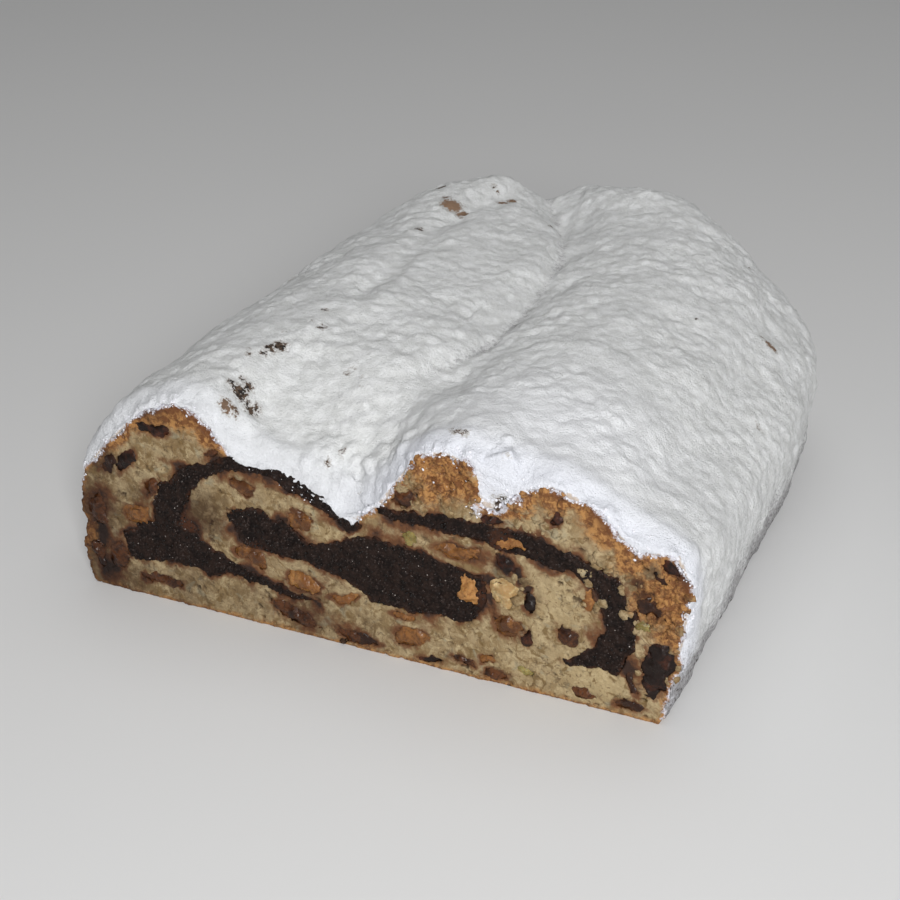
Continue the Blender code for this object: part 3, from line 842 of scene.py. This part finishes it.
def add_drifts(tree):
    """Lumps of sugar that have slid into the fold and the groove at the cut."""
    rng = random.Random(5)
    lumps = []
    for low_x, high_x, count, biggest in ((56, 80, 26, 2.6), (98, 108, 14, 2.3), (40, 56, 8, 1.8)):
        for _ in range(count):
            x, y = rng.uniform(low_x, high_x), rng.uniform(0.8, 11.0)
            hit = tree.ray_cast(place(x, y, 100.0), Vector((0, 0, -1)))[0]
            if hit is None:
                continue
            size = rng.uniform(0.45, 1.0) * biggest
            bpy.ops.mesh.primitive_ico_sphere_add(subdivisions=2, radius=size * MM, location=hit)
            lump = bpy.context.object
            lump.scale = (rng.uniform(0.9, 1.3), rng.uniform(0.8, 1.2), rng.uniform(0.5, 0.75))
            bpy.ops.object.transform_apply(location=True, rotation=True, scale=True)
            lumps.append(lump)
    return lumps


def taper_edge(obj, tree):
    """Thins the coat towards the cut, where it ends as a soft slope and not as a slice."""
    vertices = obj.data.vertices
    for vertex in vertices:
        share = 1 - float(ramp((vertex.co.y - FOOT.y) / MM / 6.0))
        if share > 0:
            near = tree.find_nearest(vertex.co, 8 * MM)[0]
            if near is not None:
                vertex.co = vertex.co.lerp(near, 0.66 * share)


def make_sugar():
    """The coat of icing sugar: lumpy, wavy, and pressed in along the fold."""
    top = tree_of(["sugar_coat"])
    solids = tree_of([node for node in nodes_named("") if node != "sugar_coat"])
    sugar = join([copy_of("icing_sugar_coat", ["sugar_coat"])] + add_drifts(top))
    reskin(sugar, SUGAR_GRAIN)
    points = loaf_points(sugar)
    dough = tree_of(["dough"])
    inner = looks_at(sugar, solids)
    outer = 1 - inner
    back = weigh(sugar, "back", ramp((points[:, 1] - 2.5) / 8) * outer)
    front = weigh(sugar, "front", (1 - ramp((points[:, 1] - 2.5) / 4)) * outer)
    soften(sugar, 0.5, 3)
    soften(sugar, 0.6, 30, back)
    soften(sugar, 0.6, 26, front)
    swell(sugar, 0.15, front)
    taper_edge(sugar, solids)
    pull_out_of_shape(sugar)
    press_fold(sugar)
    points = loaf_points(sugar)
    x, y, z = points.T
    left_edge = np.exp(-(((x - 6) / 9) ** 2)) * ramp((z - 28) / 6) * ramp((y - 0.5) / 3) * (1 - ramp((y - 5) / 25))
    swell(sugar, 1.5, weigh(sugar, "left_edge", left_edge * outer))
    edge = (0.4 + 0.6 * ramp((y - 2) / 6)) * outer
    calm = 0.6 + 0.4 * ramp((speckle(points, 17.0, 7.0) - 0.36) / 0.26)
    relief(sugar, clouds(14.0, 1), 2.8, 0.5, weigh(sugar, "waves", edge))
    lumpy = weigh(sugar, "lumpy", edge * calm)
    relief(sugar, clouds(4.8, 1), 1.1, 0.5, lumpy, (1.25, 0.85, 1.0))
    relief(sugar, clouds(2.4, 1), 0.8, 0.5, lumpy)
    relief(sugar, cells(3.3, 0.0, 0.8), -0.75, 0.5, lumpy)
    soften(sugar, 0.5, 2, lumpy)
    relief(sugar, clouds(1.3, 1), 0.42, 0.5, lumpy)
    slid = np.exp(-(((x - 66) / 12) ** 2)) + 0.8 * np.exp(-(((x - 103) / 5) ** 2))
    drift = weigh(sugar, "drift", slid * (1 - ramp((y - 6) / 10)) * outer)
    relief(sugar, cells(3.2, 0.0, 0.7), -1.6, 0.6, drift)
    relief(sugar, clouds(1.6, 1), 1.2, 0.5, drift)
    points = loaf_points(sugar)
    points[:, 1] = np.where(points[:, 1] < 0, 0.3 * points[:, 1], points[:, 1])
    move_points(sugar, points)
    # Painted light: brighter along the front edge of the coat, most on the right
    attribute(sugar, "rim", (1 - ramp((y - 1.0) / 9)) * (0.5 + 0.5 * ramp((x - 60) / 20)))
    attribute(sugar, "hem", (1 - ramp((y - 1.0) / 1.5)) * np.exp(-distances(sugar, dough, 3.0) / 0.5))
    # Thicker sugar, and painted light, on the front of the right dome
    attribute(sugar, "thick_and_lit", 0.9 * np.exp(-(((x - 112) / 24) ** 2 + ((y - 14) / 26) ** 2)))
    # Thin sugar on the right side and low down; painted shade along the fold
    side = np.maximum(ramp((x - 134) / 9) * ramp((34 - z) / 30), ramp((24 - z) / 22))
    crease_shade = along(FOLD, points, 2.4) * ramp((y - 20) / 20) * (z > 35) * (0.5 + 0.7 * speckle(points, 7.0))
    attribute(sugar, "thin", np.maximum(0.62 * side, 0.42 * crease_shade))
    attribute(sugar, "bare", spots(points, BARE, (0, 1)) * (z > 30))
    attribute(sugar, "tan", spots(points, LIGHT_CRUST, (0, 1)))
    thin_out(sugar, inner, 0.15, MOST_FACES)
    return polish(sugar)


def make_fruit(name, nodes, wrinkle):
    """All fruit of one kind, each with its own folds."""
    fruit = copy_of(name, nodes)
    reskin(fruit, FRUIT_GRAIN)
    soften(fruit, 0.5, 6)
    group = weigh(fruit, "face", 0.3 + 0.7 * face_share(loaf_points(fruit)))
    pull_out_of_shape(fruit)
    swell(fruit, 0.5)
    relief(fruit, clouds(2.8, 1), 3.0 * wrinkle, 0.5, group)
    relief(fruit, clouds(1.0, 2), 1.3 * wrinkle, 0.5, group)
    press_back(fruit, 0.45)
    normals = np.empty(len(fruit.data.vertices) * 3, np.float32)
    fruit.data.vertex_normals.foreach_get("vector", normals)
    attribute(fruit, "rim", 1 - np.clip(-normals.reshape(-1, 3)[:, 1], 0, 1))
    points = loaf_points(fruit)
    attribute(fruit, "dense_and_shade", spots(points, DENSE_AND_SHADE))
    points[:, 2] = np.maximum(points[:, 2], 0.2)
    move_points(fruit, points)
    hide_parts(*nodes)
    return polish(fruit)


def clump(name, size, faces, rough):
    """One torn lump: a ball of few faces, pulled out of shape."""
    bpy.ops.object.select_all(action="DESELECT")
    bpy.ops.mesh.primitive_ico_sphere_add(subdivisions=faces, radius=size * MM)
    lump = bpy.context.object
    lump.name = name
    if rough:
        bpy.ops.object.mode_set(mode="EDIT")
        bpy.ops.transform.vertex_random(offset=rough * size * MM, seed=int(size * 1000) % 97)
        bpy.ops.object.mode_set(mode="OBJECT")
    return lump


def strew(name, models, spots_found, rng):
    """Copies of the models on their places, joined. A place is (point, normal, size, sunk)."""
    copies = []
    for point, normal, size, sunk in spots_found:
        copy = rng.choice(models).copy()
        copy.data = copy.data.copy()
        turn = normal.to_track_quat("Z", "Y").to_matrix().to_4x4() @ Matrix.Rotation(rng.uniform(0, 6.28), 4, "Z")
        flat = Matrix.Diagonal((rng.uniform(0.8, 1.3), rng.uniform(0.8, 1.2), rng.uniform(0.55, 0.95), 1.0))
        copy.data.transform(Matrix.Translation(point - normal * sunk * MM) @ turn @ flat @ Matrix.Scale(size, 4))
        bpy.context.scene.collection.objects.link(copy)
        copies.append(copy)
    joined = join(copies)
    joined.name = name
    for model in models:
        bpy.data.objects.remove(model, do_unlink=True)
    return joined


def face_trees(pieces):
    """Search trees over the finished pieces, by name."""
    depsgraph = bpy.context.evaluated_depsgraph_get()
    return {piece.name: BVHTree.FromObject(piece, depsgraph) for piece in pieces}


def first_hit(trees, x, z):
    """The piece, place and normal first met at the cut, going in at x and z."""
    best = None
    for name, tree in trees.items():
        point, normal, _, distance = tree.ray_cast(place(x, -20.0, z), Vector((0, 1, 0)), 30 * MM)
        if point is not None and (best is None or distance < best[3]):
            best = (name, point, normal, distance)
    return best


def make_seeds(trees):
    """Whole poppy seeds that stand out of the filling at the cut."""
    rng = random.Random(11)
    found = []
    for _ in range(9000):
        hit = first_hit(trees, rng.uniform(-3, 150), rng.uniform(2, 58))
        if hit and hit[0].startswith("filling") and hit[3] < 24 * MM:
            found.append((hit[1], hit[2], rng.uniform(0.75, 1.25), rng.uniform(0.05, 0.25)))
    return polish(strew("poppy_seeds", [clump("seed", 0.36, 1, 0.0)], found, rng))


def make_crumbs(trees):
    """Torn clumps of crumb that stand out where the cut has broken it up."""
    rng = random.Random(23)
    found = []
    for x, z, radius, strength in TORN:
        for _ in range(int(radius * radius * strength * 2.8)):
            turn, far = rng.uniform(0, 2 * math.pi), radius * math.sqrt(rng.random())
            hit = first_hit(trees, x + far * math.cos(turn), z + far * math.sin(turn))
            if hit and hit[3] < 24 * MM and hit[0] in ("crumb_cut", "filling_right", "filling_left"):
                size = rng.choice((0.3, 0.4, 0.55, 0.75, 1.0, 1.2))
                found.append((hit[1], hit[2], size, 0.5 * size))
    crumbs = strew("crumbs", [clump("clump", 1.0 + 0.01 * k, 2, 0.36) for k in range(6)], found, rng)
    relief(crumbs, clouds(1.5, 2), 1.7, 0.5)
    points = loaf_points(crumbs)
    attribute(crumbs, "brown", spots(points, BROWNED))
    attribute(crumbs, "soak", np.zeros(len(points)))
    attribute(crumbs, "pit", np.zeros(len(points)))
    attribute(crumbs, "torn", np.zeros(len(points)))
    attribute(crumbs, "dust", 0.2 * speckle(points, 3.0))
    attribute(crumbs, "dense_and_shade", spots(points, DENSE_AND_SHADE))
    return polish(crumbs)


def make_sugar_grains(trees):
    """Sugar that has fallen over the edge on to the lobes, and the loose grains along that edge."""
    rng = random.Random(31)
    found = []
    for x, z, radius, count in ((92, 51, 6, 30), (99, 43, 3, 20), (108, 48, 4, 12), (28, 53, 6, 8), (135, 43, 5, 16)):
        for _ in range(count):
            turn, far = rng.uniform(0, 2 * math.pi), radius * math.sqrt(rng.random())
            hit = first_hit(trees, x + far * math.cos(turn), z + far * math.sin(turn))
            if hit and hit[3] < 24 * MM:
                found.append((hit[1], hit[2], rng.uniform(0.15, 0.5), 0.1))
    coat, cut = trees["icing_sugar_coat"], trees["crumb_cut"]
    for _ in range(9000):
        hit = first_hit(trees, rng.uniform(-3, 148), rng.uniform(20, 58))
        if not hit or hit[3] > 23 * MM:
            continue
        on_coat = hit[0] == "icing_sugar_coat"
        if hit[0].startswith("filling") and rng.random() < 0.92:
            continue
        _, _, _, away = (cut if on_coat else coat).find_nearest(hit[1])
        if away < (0.9 if on_coat else 0.7) * MM:
            size = rng.uniform(0.2, 0.55) if on_coat else rng.uniform(0.1, 0.35)
            found.append((hit[1], hit[2], size, 0.3 * size))
    return polish(strew("sugar_grains", [clump("grain", 0.8 + 0.01 * k, 1, 0.2) for k in range(4)], found, rng))


# Each kind of fruit: its piece, its flesh, its darker folds, its skin, its gloss and its glow
FRUIT = {
    "raisin_dark": ("dark_raisins", (76, 40, 25), (27, 16, 12), (26, 16, 12), 0.4, 0.0),
    "raisin_red": ("red_raisins", (92, 55, 30), (46, 26, 17), (38, 22, 15), 0.32, 0.06),
    "sultana": ("sultanas", (134, 90, 48), (82, 50, 28), (56, 34, 20), 0.3, 0.08),
    "orange_peel": ("orange_peels", (172, 124, 72), (122, 78, 40), (84, 52, 30), 0.3, 0.08),
    "citron": ("citrons", (152, 138, 84), (118, 104, 60), (100, 84, 50), 0.35, 0.3),
    "almond": ("almonds", (206, 184, 140), (164, 132, 88), (96, 60, 36), 0.5, 0.1),
}


# ---- the stage ----


def make_stage():
    """A pale floor, soft light from the front and above, and the camera."""
    bpy.ops.mesh.primitive_plane_add(size=6.0)
    floor = bpy.context.object
    floor.name = "floor"
    paint = Paint("floor", 0.9)
    paint.colour(paint.mix(paint.noise(300.0), (0.72, 0.72, 0.72), (0.75, 0.75, 0.745)))
    floor.data.materials.append(paint.made)

    world = bpy.data.worlds.new("studio")
    world.use_nodes = True
    background = world.node_tree.nodes["Background"]
    background.inputs["Color"].default_value = (1.0, 1.0, 1.0, 1.0)
    background.inputs["Strength"].default_value = 0.17
    bpy.context.scene.world = world

    for name, turn, height, distance, size, power in (
        ("key", 28.0, 28.0, 850.0, 260.0, 5.9),
        ("ceiling", 180.0, 80.0, 1500.0, 1500.0, 5.0),
    ):
        lamp = bpy.data.lights.new(name, "AREA")
        lamp.size = size * MM
        lamp.energy = power
        holder = bpy.data.objects.new(name, lamp)
        bpy.context.scene.collection.objects.link(holder)
        look_from(holder, place(70, 70, 20), turn, height, distance)

    camera = bpy.data.cameras.new("camera")
    camera.lens = CAMERA_LENS
    camera.clip_start = 0.01
    holder = bpy.data.objects.new("camera", camera)
    bpy.context.scene.collection.objects.link(holder)
    look_from(holder, place(*LOOK_AT), CAMERA_TURN, CAMERA_HEIGHT, CAMERA_DISTANCE)
    bpy.context.scene.camera = holder
    bpy.context.scene.view_settings.view_transform = "Standard"


def look_from(obj, target, turn, height, distance):
    """Sets an object at a distance from the target, turned from the front, looking at it."""
    a, e = math.radians(turn), math.radians(height)
    back = Vector((math.sin(a) * math.cos(e), -math.cos(a) * math.cos(e), math.sin(e)))
    obj.location = target + back * distance * MM
    obj.rotation_euler = back.to_track_quat("Z", "Y").to_euler()


def main():
    make_stage()
    crust = outer_crust()
    crumb_look = crumb_paint()
    crumb = wear(in_place_of(make_crumb(crust), "dough"), crumb_look)
    wear(make_loaf(crust), crumb_look)
    sugar = wear(in_place_of(make_sugar(), "sugar_coat"), sugar_paint())
    poppy = poppy_paint()
    at_cut = [crumb, sugar]
    for name, node in (
        ("filling_left", "poppy_fold_left"), ("filling_core", "poppy_core"),
        ("filling_right", "poppy_fold_right"),
    ):
        at_cut.append(wear(in_place_of(make_filling(name, node), node), poppy))
    for kind, (name, flesh, deep, skin, gloss, glow) in FRUIT.items():
        fruit = make_fruit(name, nodes_named(kind), 0.6)
        at_cut.append(wear(fruit, fruit_paint(name, flesh, deep, skin, gloss, glow)))
    trees = face_trees(at_cut)
    wear(make_seeds(trees), grain_paint())
    wear(make_crumbs(trees), crumb_look)
    wear(make_sugar_grains(trees), sugar_grain_paint())


def in_place_of(obj, node):
    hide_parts(node)
    return obj


main()
